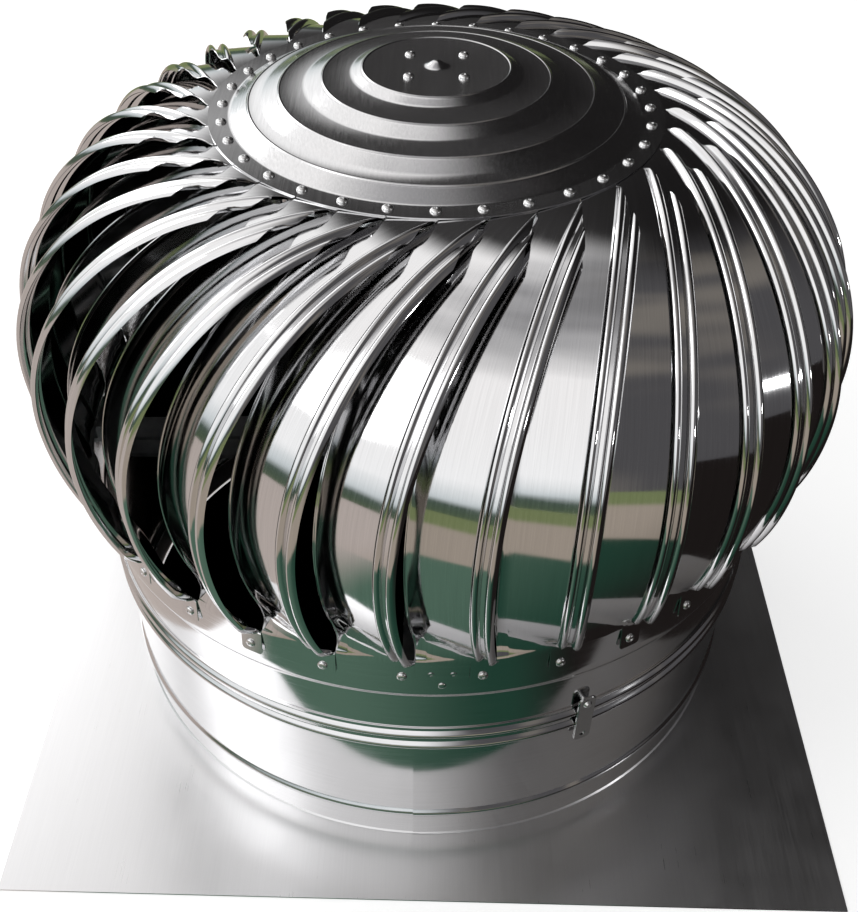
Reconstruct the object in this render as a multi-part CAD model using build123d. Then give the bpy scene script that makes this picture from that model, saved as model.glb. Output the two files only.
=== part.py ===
from build123d import *
import os
from math import asin, cos, degrees, radians, sin, sqrt

# A roof turbine ventilator: a square flashing plate with a round neck, a fixed shaft on a cross
# in the neck, and a round head of curved vanes that turns on the shaft in the wind.
# Millimetres, +Z up; the origin is the middle of the plate's underside, on the head's axis.

# ---- neck and flashing plate ----
throat_radius = 250.0        # inside of the plate's upturned collar: a 500 mm ventilator
plate_side = 615.0
plate_gauge = 1.2
collar_height = 24.0         # above the plate's underside
collar_bend = 3.0            # outside bend where the collar turns up
slip_gap = 0.1               # between sheet rings that slide into one another
neck_gauge = 0.8
foot_bead_z = 30.0           # the neck's low bead, just above the collar's edge
bead_height = 2.6
bead_width = 8.0
joint_z = 123.0              # where the lower and the upper neck meet
upper_neck_height = 63.0

# ---- clamp band round the joint ----
band_gauge = 0.8
band_width = 26.0
band_ridge_pitch = 12.0      # between the band's two ridges
band_split = 2.4             # gap between the band's ends
band_split_angle = -64.5     # where its ends meet, seen from above
clip_height = 46.0
clip_width = 13.0
clip_gauge = 1.5
clip_hole_radius = 2.2
screw_tail = 2.0             # of the clip's screw, inside the neck

# ---- shaft and its fixed cross ----
shaft_radius = 10.0
stud_radius = 8.0            # threaded ends of the shaft
arm_count = 4
cross_tab_height = 20.0      # of the arms' turned-up ends, which end level with the neck
cross_bar_width = 30.0
cross_bar_gauge = 4.0
cross_hub_radius = 23.0
cross_hub_drop = 8.0         # below the arms
cross_hub_height = 24.0
cross_rivet_drop = 6.0       # below the neck's upper edge
cross_rivet_spread = 16.0
collar_radius = 14.0         # the shaft's collar, which stands on the hub
shaft_collar_height = 8.0
nut_across_flats = 24.0
nut_height = 13.0
top_nut_height = 8.0
washer_radius = 15.0
washer_gauge = 2.5
stud_slack = 0.1             # radial, of the stud in its hub and washers
stud_tail = 5.0              # thread showing past a nut

# ---- ball bearings, both alike ----
bearing_bore_radius = 10.0
bearing_outer_radius = 23.5
bearing_width = 14.0
inner_ring_wall = 4.3
outer_ring_wall = 4.3
seal_gauge = 1.0
seal_gap = 0.35              # between a turning seal and the still inner ring
cage_gap = 0.4               # between the turning cage and the seals and the still inner ring
press_slack = 0.02           # radial, of a ring in its seat
spacer_wall = 3.5

# ---- turning head ----
blade_count = 32
first_blade_angle = -120.55  # direction of the first blade's plane, seen from above
blade_gauge = 0.6
blade_offset = 122.3         # from the axis to the plane that a blade's double bead lies in
blade_inner_edge = 46.0      # from the double bead's middle to the blade's inner edge
inner_lip = 1.8              # height and width of the lip on that edge
ridge_height = 3.4
ridge_half_width = 3.2
groove_half_width = 1.0      # flat between the two ridges
blade_overlap = 6.74         # from the ring's upper edge down to the blade's lower end
bead_stand = 0.39            # from the ring out to the double bead's middle at that end
lower_bend_radius = 175.0
lower_bend_angle = 32.0
shoulder_radius = 125.0
shoulder_angle = 37.0
top_bend_radius = 172.0
running_gap = 3.6            # between the fixed neck and the turning ring
ring_gauge = 0.8
ring_overlap = 14.6          # how far the turning ring reaches down over the neck
ring_height = 39.6
ring_lip = 1.9               # how far the ring's lower edge is turned in
ring_lip_height = 7.0
foot_width = 15.0            # the blade's riveted foot
foot_drop = 21.0             # from the ring's upper edge down to the foot's lower edge
foot_rivet_drop = 13.5
foot_offset = 4.0            # from the double bead's middle to the foot's rivet
ring_clearance = 0.5         # between a blade and the ring's upper edge
seat_gap = 0.05              # between curved sheets that lie on one another

# ---- stepped crown ----
crown_gauge = 0.8
crown_rim_radius = 140.7
crown_rivet_radius = 132.8   # circle of the rivets that hold the blades
crown_steps = [              # each step's outer and inner radius and its rise, from the rim in
    (127.5, 117.0, 5.6), (108.0, 97.5, 4.4), (81.0, 70.5, 4.0), (52.0, 46.0, 3.0),
]
crown_tread_rise = 2.33      # from one step's edge to the next one's foot
centre_dome_radius = 9.0
centre_dome_height = 3.5
centre_rivet_spacing = 33.0
tab_end_radius = 124.0       # inner end of a blade's tab under the crown
tab_rivet_offset = 15.3      # from the double bead's middle to the rivet under the crown
tab_margin = 1.65            # degrees from that rivet to the tab's nearer side
tab_gap = 0.2                # degrees between one tab and the next
fan_radius = 150.0           # inside this a blade keeps to its own share of the circle
corner_start = 91.0          # where the cut across the blade's beaded corner starts and ends
corner_end = 128.0
corner_inset = 5.3

# ---- rivets ----
rivet_radius = 2.0
rivet_slack = 0.1
rivet_head_radius = 3.3
rivet_crest_radius = 2.0
rivet_head_height = 1.8
flat_head_radius = 4.0
flat_head_height = 1.2

# ---- turning cross and bearing housings ----
spider_gap = 3.0             # between the neck's upper edge and the turning cross's arms
spider_bar_width = 25.0
spider_bar_gauge = 3.0
spider_tab_height = 14.0
spider_rivet_spread = 14.0
housing_wall = 6.5
housing_lip = 6.5            # shoulder that a bearing's outer ring seats on
lower_housing_drop = 3.0     # below the lower bearing
lower_housing_cap = 3.0      # above it
upper_housing_flange_radius = 38.0
upper_housing_flange_gauge = 2.5
upper_housing_drop = 2.0     # below the upper bearing
upper_bearing_drop = 12.2    # from the housing's flange down to the upper bearing

# ---- worked out from the sizes above ----
neck_inner = throat_radius + plate_gauge + slip_gap
neck_outer = neck_inner + neck_gauge
neck_top_z = joint_z + upper_neck_height
cross_z = neck_top_z - cross_tab_height        # underside of the fixed cross's arms
cross_rivet_z = neck_top_z - cross_rivet_drop
cross_hub_bottom_z = cross_z - cross_hub_drop
band_inner = neck_outer + slip_gap
clip_back = band_inner + band_gauge + bead_height + seat_gap
clip_hole_z = (clip_height - clip_width) / 2   # of the clip's holes, from its middle
ring_inner = neck_outer + running_gap
ring_outer = ring_inner + ring_gauge
ring_bottom_z = neck_top_z - ring_overlap
ring_top_z = ring_bottom_z + ring_height
spider_z = neck_top_z + spider_gap             # underside of the turning cross's arms
hub_top_z = cross_hub_bottom_z + cross_hub_height
lower_bearing_z = hub_top_z + shaft_collar_height
inner_ring_radius = bearing_bore_radius + inner_ring_wall
outer_ring_bore = bearing_outer_radius - outer_ring_wall
housing_radius = bearing_outer_radius + housing_wall
housing_eye = bearing_outer_radius - housing_lip
blade_pitch = 360 / blade_count
lower_turn = radians(lower_bend_angle)
foot_reach = sqrt((ring_outer + bead_stand) ** 2 - blade_offset**2)
belly_reach = foot_reach + lower_bend_radius * (1 - cos(lower_turn))
belly_z = ring_top_z - blade_overlap + lower_bend_radius * sin(lower_turn)
shoulder_turn = radians(shoulder_angle)
shoulder_x = belly_reach - shoulder_radius
top_bend_x = shoulder_x + (shoulder_radius - top_bend_radius) * cos(shoulder_turn)
top_bend_z = belly_z + (shoulder_radius - top_bend_radius) * sin(shoulder_turn)
blade_top_z = top_bend_z + top_bend_radius
foot_inner = ring_outer + seat_gap
foot_bottom_z = ring_top_z - foot_drop
foot_rivet_z = ring_top_z - foot_rivet_drop
foot_angle = degrees(asin((blade_offset - foot_offset) / ring_outer))
tab_angle = degrees(asin((blade_offset - tab_rivet_offset) / crown_rivet_radius))
flange_z = blade_top_z + seat_gap              # underside of the crown's flange
crown_height = sum(rise for _, _, rise in crown_steps) + crown_tread_rise * (len(crown_steps) - 1)
crown_top_z = flange_z + crown_height          # underside of the crown's middle
housing_flange_z = crown_top_z - upper_housing_flange_gauge
upper_bearing_z = housing_flange_z - upper_bearing_drop - bearing_width
spider_angle = first_blade_angle + foot_angle + blade_pitch / 2    # between two blades' feet


def ring(inner, outer, bottom, height):
    """A plain ring on the head's axis, standing on the height called bottom."""
    return Pos(0, 0, bottom) * extrude(Circle(outer) - Circle(inner), height)


def turned(points):
    """A solid turned about the head's axis from corners given as (radius, height)."""
    return revolve(make_face(Plane.XZ * Polyline(*points, close=True)), Axis.Z)


def around(shape, count, start=0.0):
    """Copies of a shape at equal angles about the head's axis."""
    return [Rot(0, 0, start + i * 360 / count) * shape for i in range(count)]


def outline_with_beads(radius, bottom, top, beads, height, width):
    """Corners, from bottom to top, of an upright sheet with pointed beads pressed outwards."""
    corners = [(radius, bottom)]
    for z in beads:
        corners += [(radius, z - width / 2), (radius + height, z), (radius, z + width / 2)]
    return corners + [(radius, top)]


def beaded_sleeve(inner, gauge, bottom, top, beads, height, width):
    """A sheet sleeve whose beads are hollow, as rolls press them."""
    outside = outline_with_beads(inner + gauge, bottom, top, beads, height, width)
    inside = outline_with_beads(inner, bottom, top, beads, height, width - gauge)
    return turned(outside + inside[::-1])


# ---- fixed pieces ----
def base_plate():
    """The flashing plate, with its opening turned up into a collar that the neck slips over."""
    plate = extrude(Rectangle(plate_side, plate_side), plate_gauge)
    plate -= Cylinder(throat_radius + collar_bend, 4 * plate_gauge)
    bend = collar_bend - plate_gauge
    collar = turned([
        (throat_radius + collar_bend, 0), (throat_radius + collar_bend, plate_gauge),
        (throat_radius + plate_gauge, collar_bend), (throat_radius + plate_gauge, collar_height),
        (throat_radius, collar_height), (throat_radius, bend), (throat_radius + bend, 0),
    ])
    return plate + collar


def lower_neck():
    """The sleeve that slips over the collar, with one low bead that stiffens it."""
    return beaded_sleeve(neck_inner, neck_gauge, collar_bend, joint_z,
                         [foot_bead_z], bead_height, bead_width)


def upper_neck():
    """The sleeve that carries the fixed cross; its top stands inside the turning ring."""
    sleeve = ring(neck_inner, neck_outer, joint_z, neck_top_z - joint_z)
    sleeve -= drilled(arm_rivet_places(neck_outer, cross_rivet_spread, cross_rivet_z))
    clip_hole = Rot(0, 0, band_split_angle) * Pos(neck_outer, 0, joint_z + clip_hole_z)
    return sleeve - drilled([clip_hole * Rot(0, 90, 0)])


def joint_band():
    """The split clamp band with two ridges that holds the two necks end to end."""
    ridges = [joint_z - band_ridge_pitch / 2, joint_z + band_ridge_pitch / 2]
    band = beaded_sleeve(band_inner, band_gauge, joint_z - band_width / 2,
                         joint_z + band_width / 2, ridges, bead_height, bead_width)
    split = Pos(band_inner, 0, joint_z) * Box(4 * bead_width, band_split, 2 * band_width)
    return band - Rot(0, 0, band_split_angle) * split


def band_clip():
    """The small round-ended plate across the band's ends."""
    upright = Plane((clip_back, 0, joint_z), x_dir=(0, 1, 0), z_dir=(1, 0, 0))
    face = SlotOverall(clip_height, clip_width, rotation=90)
    for z in (clip_hole_z, -clip_hole_z):
        face -= Pos(0, z) * Circle(clip_hole_radius)
    return Rot(0, 0, band_split_angle) * extrude(upright * face, clip_gauge)


def clip_screw():
    """The screw through the clip's upper hole into the upper neck."""
    face = clip_back + clip_gauge
    seat = Pos(face, 0, joint_z + clip_hole_z) * Rot(0, 90, 0)
    return Rot(0, 0, band_split_angle) * seat * rivet(face - neck_inner + screw_tail)


def bar_cross(hub_radius, reach, width, gauge, bottom, tab_top):
    """Flat bars from a hub out to a sleeve, each with its end turned up against the sleeve."""
    arm = Pos(reach / 2, 0, bottom + gauge / 2) * Box(reach, width, gauge)
    tab = Pos(reach, 0, (bottom + tab_top) / 2) * Box(2 * gauge, width, tab_top - bottom)
    trim = ring(hub_radius, reach, bottom, tab_top - bottom)
    return around((arm + tab) & trim, arm_count)


def arm_rivet_places(radius, spread, z):
    """Where the rivets go through an upright sleeve at the arms' ends: their axes point out."""
    ends = []
    for side in (-0.5, 0.5):
        seat = Rot(0, 0, degrees(side * spread / radius)) * Pos(radius, 0, z) * Rot(0, 90, 0)
        ends += around(seat, arm_count)
    return ends


def fixed_cross():
    """The cross riveted into the upper neck, with the hub that the shaft stands in."""
    cross = ring(stud_radius + stud_slack, cross_hub_radius, cross_hub_bottom_z, cross_hub_height)
    cross += bar_cross(cross_hub_radius - 1, neck_inner - seat_gap, cross_bar_width,
                       cross_bar_gauge, cross_z, neck_top_z)
    return cross - drilled(arm_rivet_places(neck_outer, cross_rivet_spread, cross_rivet_z))


def cross_rivets():
    """Flat-headed rivets that hold the fixed cross; the turning ring passes over them."""
    places = arm_rivet_places(neck_outer, cross_rivet_spread, cross_rivet_z)
    grip = neck_gauge + seat_gap + cross_bar_gauge
    return [place * flat_rivet(grip) for place in places]


def shaft():
    """The fixed shaft, with its collar on the hub and a threaded stud at each end."""
    low = cross_hub_bottom_z - washer_gauge - nut_height - stud_tail
    high = upper_bearing_z + bearing_width
    end = high + washer_gauge + top_nut_height
    return turned([
        (0, low), (stud_radius, low), (stud_radius, hub_top_z), (collar_radius, hub_top_z),
        (collar_radius, lower_bearing_z), (shaft_radius, lower_bearing_z),
        (shaft_radius, high), (stud_radius, high), (stud_radius, end), (0, end),
    ])


def hex_nut(bottom, height):
    """A plain hexagon nut on the shaft's thread."""
    blank = RegularPolygon(nut_across_flats / 2, 6, major_radius=False)
    return Pos(0, 0, bottom) * extrude(blank - Circle(stud_radius + stud_slack), height)


def shaft_nuts():
    """The nut under the hub and the thin nut over the upper bearing."""
    under = cross_hub_bottom_z - washer_gauge - nut_height
    over = upper_bearing_z + bearing_width + washer_gauge
    return [hex_nut(under, nut_height), hex_nut(over, top_nut_height)]


def shaft_washers():
    """One washer under each nut."""
    inner = stud_radius + stud_slack
    under = ring(inner, washer_radius, cross_hub_bottom_z - washer_gauge, washer_gauge)
    over = ring(inner, inner_ring_radius, upper_bearing_z + bearing_width, washer_gauge)
    return [under, over]


def spacer_sleeve():
    """The tube on the shaft that carries the upper bearing on the lower one."""
    bottom = lower_bearing_z + bearing_width
    inner = shaft_radius + press_slack
    return ring(inner, inner + spacer_wall, bottom, upper_bearing_z - bottom)


# ---- bearings ----
def inner_ring(bottom):
    """A bearing's inner ring, which stays still on the shaft."""
    return ring(bearing_bore_radius + press_slack, inner_ring_radius, bottom, bearing_width)


def outer_ring(bottom):
    """A bearing's outer ring, which turns with the head."""
    return ring(outer_ring_bore, bearing_outer_radius - press_slack, bottom, bearing_width)


def seals(bottom):
    """The two seal discs that turn with a bearing's outer ring."""
    inner = inner_ring_radius + seal_gap
    outer = outer_ring_bore - seat_gap
    top = bottom + bearing_width - seal_gauge
    return [ring(inner, outer, z, seal_gauge) for z in (bottom, top)]


def ball_cage(bottom):
    """The ring of balls in their cage, as one plain ring that runs between a bearing's rings."""
    height = bearing_width - 2 * (seal_gauge + cage_gap)
    start = bottom + seal_gauge + cage_gap
    return ring(inner_ring_radius + cage_gap, outer_ring_bore - seat_gap, start, height)


# ---- rivets ----
def rivet(grip):
    """A domed rivet: the head stands on the XY plane, the shank goes down through the sheets."""
    return turned([
        (0, -grip), (rivet_radius, -grip), (rivet_radius, 0), (rivet_head_radius, 0),
        (rivet_crest_radius, rivet_head_height), (0, rivet_head_height),
    ])


def flat_rivet(grip):
    """A rivet with a thin flat head, standing on the XY plane."""
    return turned([
        (0, -grip), (rivet_radius, -grip), (rivet_radius, 0), (flat_head_radius, 0),
        (flat_head_radius, flat_head_height), (0, flat_head_height),
    ])


def drilled(places):
    """Tools that drill a rivet's hole at each place, along its Z axis."""
    return [place * Cylinder(rivet_radius + rivet_slack, 20) for place in places]


# ---- turning head ----
def foot_rivet_place(angle):
    """A blade's rivet on the turning ring, for a blade turned to this angle."""
    return Rot(0, 0, angle + foot_angle) * Pos(ring_outer, 0, foot_rivet_z) * Rot(0, 90, 0)


def tab_rivet_place(angle):
    """A blade's rivet under the crown's flange, for a blade turned to this angle."""
    return Rot(0, 0, angle + tab_angle) * Pos(crown_rivet_radius, 0, flange_z)


def blade_angles():
    """The direction of each blade's plane, seen from above."""
    return [first_blade_angle + i * blade_pitch for i in range(blade_count)]


def blade_section():
    """The roll-formed strip: lip, flat, and a double bead along its outer edge."""
    ridge = ridge_half_width
    first = -groove_half_width - ridge
    second = groove_half_width + ridge
    outside = Polyline(
        (-blade_inner_edge, inner_lip), (inner_lip - blade_inner_edge, 0),
        (first - ridge, 0), (first, ridge_height), (first + ridge, 0),
        (second - ridge, 0), (second, ridge_height), (second + ridge, 0),
    )
    return make_face(offset(outside, blade_gauge, kind=Kind.INTERSECTION, side=Side.RIGHT))


def blade_path():
    """The blade's side view: three tangent bends and the flat under the crown."""
    lower = CenterArc((belly_reach - lower_bend_radius, belly_z), lower_bend_radius,
                      -lower_bend_angle, lower_bend_angle)
    shoulder = CenterArc((shoulder_x, belly_z), shoulder_radius, 0, shoulder_angle)
    top = CenterArc((top_bend_x, top_bend_z), top_bend_radius, shoulder_angle, 90 - shoulder_angle)
    flat = Line((top_bend_x, blade_top_z), (tab_end_radius / 3, blade_top_z))
    upright = Plane((0, blade_offset, 0), x_dir=(1, 0, 0), z_dir=(0, -1, 0))
    return upright * Wire([lower, shoulder, top, flat])


def blade_strip():
    """The strip bent along its path, in a plane that runs along X."""
    path = blade_path()
    across = Vector(0, 1, 0)
    outwards = across.cross(path % 0)
    return sweep(Plane(path @ 0, x_dir=across, z_dir=across.cross(outwards)) * blade_section(), path)


def tab_sector():
    """The share of the circle that one blade's tab takes up under the crown."""
    high = radians(tab_angle + tab_margin)
    low = high - radians(blade_pitch - tab_gap)
    reach = 2 * fan_radius
    corners = [(0, 0), (reach * cos(low), reach * sin(low)), (reach * cos(high), reach * sin(high))]
    return extrude(make_face(Polyline(*corners, close=True)), 2 * blade_top_z)


def beaded_corner():
    """What the slanting cut takes off the beaded corner, where each ridge ends in a point."""
    start = blade_offset - corner_inset
    end = blade_offset + groove_half_width + 2 * ridge_half_width
    slope = (end - start) / (corner_end - corner_start)
    inner = tab_end_radius / 3
    low = start - slope * (corner_start - inner)
    corners = [(inner, low), (corner_end, end), (corner_end, 2 * end), (inner, 2 * end)]
    return extrude(make_face(Polyline(*corners, close=True)), 2 * blade_top_z)


def blade():
    """One blade: the bent strip, trimmed under the crown and at the ring, with its foot.

    Under the crown it keeps to its own share of the circle and to what the next blade's
    corner cut leaves free.
    """
    strip = blade_strip()
    sector = tab_sector()
    freed = Rot(0, 0, tab_gap - blade_pitch) * (beaded_corner() & sector)
    fan = extrude(Circle(fan_radius), 2 * blade_top_z) - sector - freed
    strip -= fan + extrude(Circle(tab_end_radius), 2 * blade_top_z)
    strip -= beaded_corner()
    strip -= ring(ring_inner - ring_clearance, foot_inner, 0, ring_top_z + ring_clearance)
    foot = ring(foot_inner, foot_inner + blade_gauge, foot_bottom_z, ring_top_z - foot_bottom_z)
    foot &= Rot(0, 0, foot_angle) * Pos(ring_outer, 0, ring_top_z) * Box(20, foot_width, ring_top_z)
    return strip + foot - drilled([foot_rivet_place(0), tab_rivet_place(0)])


def rotor_ring():
    """The turning ring that the blades' feet are riveted to, with its lower edge turned in."""
    step = ring_bottom_z + ring_lip_height
    band = turned([
        (ring_inner - ring_lip, ring_bottom_z), (ring_outer - ring_lip, ring_bottom_z),
        (ring_outer, step), (ring_outer, ring_top_z), (ring_inner, ring_top_z), (ring_inner, step),
    ])
    feet = [foot_rivet_place(angle) for angle in blade_angles()]
    return band - drilled(feet) - drilled(spider_rivet_places())


def crown_outline():
    """The crown's underside, from the rim to the middle, as (radius, height)."""
    corners = [(crown_rim_radius, flange_z)]
    height = flange_z
    for foot, edge, rise in crown_steps:
        corners += [(foot, height), (edge, height + rise)]
        height += rise + crown_tread_rise
    return corners + [(0, crown_top_z)]


def crown():
    """The stepped crown: a pressed sheet with four steps and a small dome in the middle."""
    under = crown_outline()
    over = [(radius, z + crown_gauge) for radius, z in under]
    sheet = turned(under + over[::-1])
    bulge = (centre_dome_radius**2 + centre_dome_height**2) / (2 * centre_dome_height)
    top = crown_top_z + crown_gauge
    ball = Pos(0, 0, top + centre_dome_height - bulge) * Sphere(bulge)
    sheet += ball & Pos(0, 0, top) * extrude(Circle(centre_dome_radius), 2 * centre_dome_height)
    rim = [tab_rivet_place(angle) for angle in blade_angles()]
    return sheet - drilled(rim) - drilled(centre_rivet_places())


def centre_rivet_places():
    """The square of rivets that holds the upper bearing's housing."""
    return [Pos(0, 0, crown_top_z) * place
            for place in GridLocations(centre_rivet_spacing, centre_rivet_spacing, 2, 2)]


def rim_rivets():
    """The rivets round the crown's flange, one to a blade."""
    top = Pos(0, 0, crown_gauge)
    grip = crown_gauge + seat_gap + blade_gauge
    return [tab_rivet_place(angle) * top * rivet(grip) for angle in blade_angles()]


def centre_rivets():
    """The four rivets in the crown's middle."""
    top = Pos(0, 0, crown_gauge)
    grip = crown_gauge + upper_housing_flange_gauge + housing_lip
    return [place * top * rivet(grip) for place in centre_rivet_places()]


def foot_rivets():
    """The rivets through the blades' feet and the turning ring."""
    top = Pos(0, 0, seat_gap + blade_gauge)
    grip = ring_gauge + seat_gap + blade_gauge
    return [foot_rivet_place(angle) * top * rivet(grip) for angle in blade_angles()]


def spider_rivet_places():
    """The rivets through the turning ring at the turning cross's arms."""
    z = spider_z + spider_bar_gauge + (spider_tab_height - spider_bar_gauge) / 2
    turn = Rot(0, 0, spider_angle)
    return [turn * place for place in arm_rivet_places(ring_outer, spider_rivet_spread, z)]


def spider_rivets():
    """Flat-headed rivets that hold the turning cross in the ring."""
    grip = ring_gauge + seat_gap + spider_bar_gauge
    return [place * flat_rivet(grip) for place in spider_rivet_places()]


def turning_cross():
    """The cross riveted into the turning ring, with the lower bearing's housing."""
    low = lower_bearing_z - lower_housing_drop
    seat = lower_bearing_z + bearing_width
    top = seat + lower_housing_cap
    cross = turned([
        (housing_eye, top), (housing_radius, top), (housing_radius, low),
        (bearing_outer_radius, low), (bearing_outer_radius, seat), (housing_eye, seat),
    ])
    bars = bar_cross(housing_radius - 1, ring_inner - seat_gap, spider_bar_width,
                     spider_bar_gauge, spider_z, spider_z + spider_tab_height)
    cross += [Rot(0, 0, spider_angle) * bar for bar in bars]
    return cross - drilled(spider_rivet_places())


def upper_housing():
    """The flanged cup under the crown, whose shoulder hangs the head on the upper bearing."""
    low = upper_bearing_z - upper_housing_drop
    seat = upper_bearing_z + bearing_width
    cup = turned([
        (housing_eye, crown_top_z), (upper_housing_flange_radius, crown_top_z),
        (upper_housing_flange_radius, housing_flange_z), (housing_radius, housing_flange_z),
        (housing_radius, low), (bearing_outer_radius, low), (bearing_outer_radius, seat),
        (housing_eye, seat),
    ])
    return cup - drilled(centre_rivet_places())


pieces = {
    "base_plate": base_plate(),
    "lower_neck": lower_neck(),
    "upper_neck": upper_neck(),
    "joint_band": joint_band(),
    "band_clip": band_clip(),
    "clip_screw": clip_screw(),
    "fixed_cross": fixed_cross(),
    "cross_rivets": cross_rivets(),
    "shaft": shaft(),
    "shaft_nuts": shaft_nuts(),
    "shaft_washers": shaft_washers(),
    "spacer_sleeve": spacer_sleeve(),
    "lower_bearing_inner_ring": inner_ring(lower_bearing_z),
    "lower_bearing_outer_ring": outer_ring(lower_bearing_z),
    "lower_bearing_seals": seals(lower_bearing_z),
    "lower_ball_cage": ball_cage(lower_bearing_z),
    "upper_bearing_inner_ring": inner_ring(upper_bearing_z),
    "upper_bearing_outer_ring": outer_ring(upper_bearing_z),
    "upper_bearing_seals": seals(upper_bearing_z),
    "upper_ball_cage": ball_cage(upper_bearing_z),
    "upper_housing": upper_housing(),
    "turning_cross": turning_cross(),
    "spider_rivets": spider_rivets(),
    "rotor_ring": rotor_ring(),
    "crown": crown(),
    "rim_rivets": rim_rivets(),
    "centre_rivets": centre_rivets(),
    "foot_rivets": foot_rivets(),
}
first_blade = blade()
for number, angle in enumerate(blade_angles(), start=1):
    pieces[f"blade_{number:02d}"] = Rot(0, 0, angle) * first_blade

os.makedirs("parts", exist_ok=True)
for name, piece in pieces.items():
    solids = piece if isinstance(piece, list) else [piece]
    export_step(Compound(children=solids) if len(solids) > 1 else solids[0], f"parts/{name}.step")
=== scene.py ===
import bpy, bmesh, math
from mathutils import Matrix, Vector


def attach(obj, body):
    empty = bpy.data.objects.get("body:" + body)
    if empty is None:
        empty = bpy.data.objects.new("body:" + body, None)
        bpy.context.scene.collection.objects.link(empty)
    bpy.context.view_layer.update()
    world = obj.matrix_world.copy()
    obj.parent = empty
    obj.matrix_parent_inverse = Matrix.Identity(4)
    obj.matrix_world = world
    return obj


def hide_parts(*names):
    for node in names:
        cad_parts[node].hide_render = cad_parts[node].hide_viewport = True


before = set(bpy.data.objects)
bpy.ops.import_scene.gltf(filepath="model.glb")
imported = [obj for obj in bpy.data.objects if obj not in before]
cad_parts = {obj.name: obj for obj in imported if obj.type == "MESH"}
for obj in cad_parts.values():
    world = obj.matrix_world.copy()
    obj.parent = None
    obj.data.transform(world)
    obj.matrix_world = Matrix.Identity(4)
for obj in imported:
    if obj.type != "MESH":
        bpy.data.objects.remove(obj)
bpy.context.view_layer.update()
mm = 0.001
print("frame loaded:", len(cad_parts), "nodes")


# ---------- small helpers ----------
def linearFromHex(code):
    channels = [int(code[i:i + 2], 16) / 255 for i in (1, 3, 5)]
    return tuple(c / 12.92 if c <= 0.04045 else ((c + 0.055) / 1.055) ** 2.4 for c in channels) + (1,)


def addNode(tree, kind, settings=None, **inputs):
    # settings are the node's own properties; inputs are its sockets, by name with _ for a space,
    # each either a value or another node's output
    node = tree.nodes.new(kind)
    for key, value in (settings or {}).items():
        setattr(node, key, value)
    for key, value in inputs.items():
        wanted = key.replace("_", " ")
        socket = node.inputs[int(key[1:])] if key[0] == "i" and key[1:].isdigit() else node.inputs[wanted]
        if isinstance(value, bpy.types.NodeSocket):
            tree.links.new(value, socket)
        else:
            socket.default_value = value
    return node


def newMaterial(name):
    made = bpy.data.materials.new(name)
    made.use_nodes = True
    made.node_tree.nodes.clear()
    return made, made.node_tree


def placeMesh(name, mesh, body, nodes):
    piece = bpy.data.objects.new(name, mesh)
    bpy.context.scene.collection.objects.link(piece)
    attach(piece, body)
    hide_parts(*nodes)


def smoothByAngle(mesh, degrees=40):
    for face in mesh.polygons:
        face.use_smooth = True
    mesh.set_sharp_from_angle(angle=math.radians(degrees))


# ---------- sheet and bar finishes ----------
# polished stainless sheet: mirror bright, with the mill's rolling grain left in it as hairlines along the
# strip, and the slight waves that thin sheet keeps after it has been rolled and bent
def stainlessSheet(name, look, source="uv"):
    made, tree = newMaterial(name)
    if source == "uv":
        where = addNode(tree, "ShaderNodeUVMap", {"uv_map": "sheet"}).outputs["UV"]
    else:
        where = addNode(tree, "ShaderNodeTexCoord").outputs["Object"]
    across, along = 1 / (look["grainWidth"] * mm), 1 / (look["grainLength"] * mm)
    scale = (across, along, across) if look["grainAlong"] == "v" else (along, across, across)
    grainPlace = addNode(tree, "ShaderNodeMapping", Vector=where, Scale=scale)
    grain = addNode(tree, "ShaderNodeTexNoise", Vector=grainPlace.outputs[0], Scale=1.0, Detail=3.0,
                    Roughness=0.6)
    wave = addNode(tree, "ShaderNodeTexNoise", Vector=where, Scale=1 / (look["waveSize"] * mm), Detail=1.0)
    smudge = addNode(tree, "ShaderNodeTexNoise", Vector=where, Scale=1 / (look["smudgeSize"] * mm),
                     Detail=4.0)
    low, high = look["roughness"]
    fromGrain = addNode(tree, "ShaderNodeMapRange", Value=grain.outputs["Fac"], From_Min=0.3, From_Max=0.7,
                        To_Min=low, To_Max=high)
    fromSmudge = addNode(tree, "ShaderNodeMapRange", Value=smudge.outputs["Fac"], From_Min=0.35,
                         From_Max=0.75, To_Min=0.0, To_Max=look["smudge"])
    rough = addNode(tree, "ShaderNodeMath", {"operation": "ADD"}, i0=fromGrain.outputs[0],
                    i1=fromSmudge.outputs[0])
    tint = addNode(tree, "ShaderNodeMix", {"data_type": "RGBA"}, Factor=grain.outputs["Fac"])
    tint.inputs[6].default_value = linearFromHex(look["dark"])
    tint.inputs[7].default_value = linearFromHex(look["light"])
    waveBump = addNode(tree, "ShaderNodeBump", Height=wave.outputs["Fac"], Strength=1.0,
                       Distance=look["waveDepth"] * mm)
    grainBump = addNode(tree, "ShaderNodeBump", Height=grain.outputs["Fac"], Strength=1.0,
                        Distance=look["grainDepth"] * mm, Normal=waveBump.outputs[0])
    shader = addNode(tree, "ShaderNodeBsdfPrincipled", Base_Color=tint.outputs[2], Metallic=1.0,
                     Roughness=rough.outputs[0], Normal=grainBump.outputs[0])
    addNode(tree, "ShaderNodeOutputMaterial", Surface=shader.outputs[0])
    return made


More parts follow.
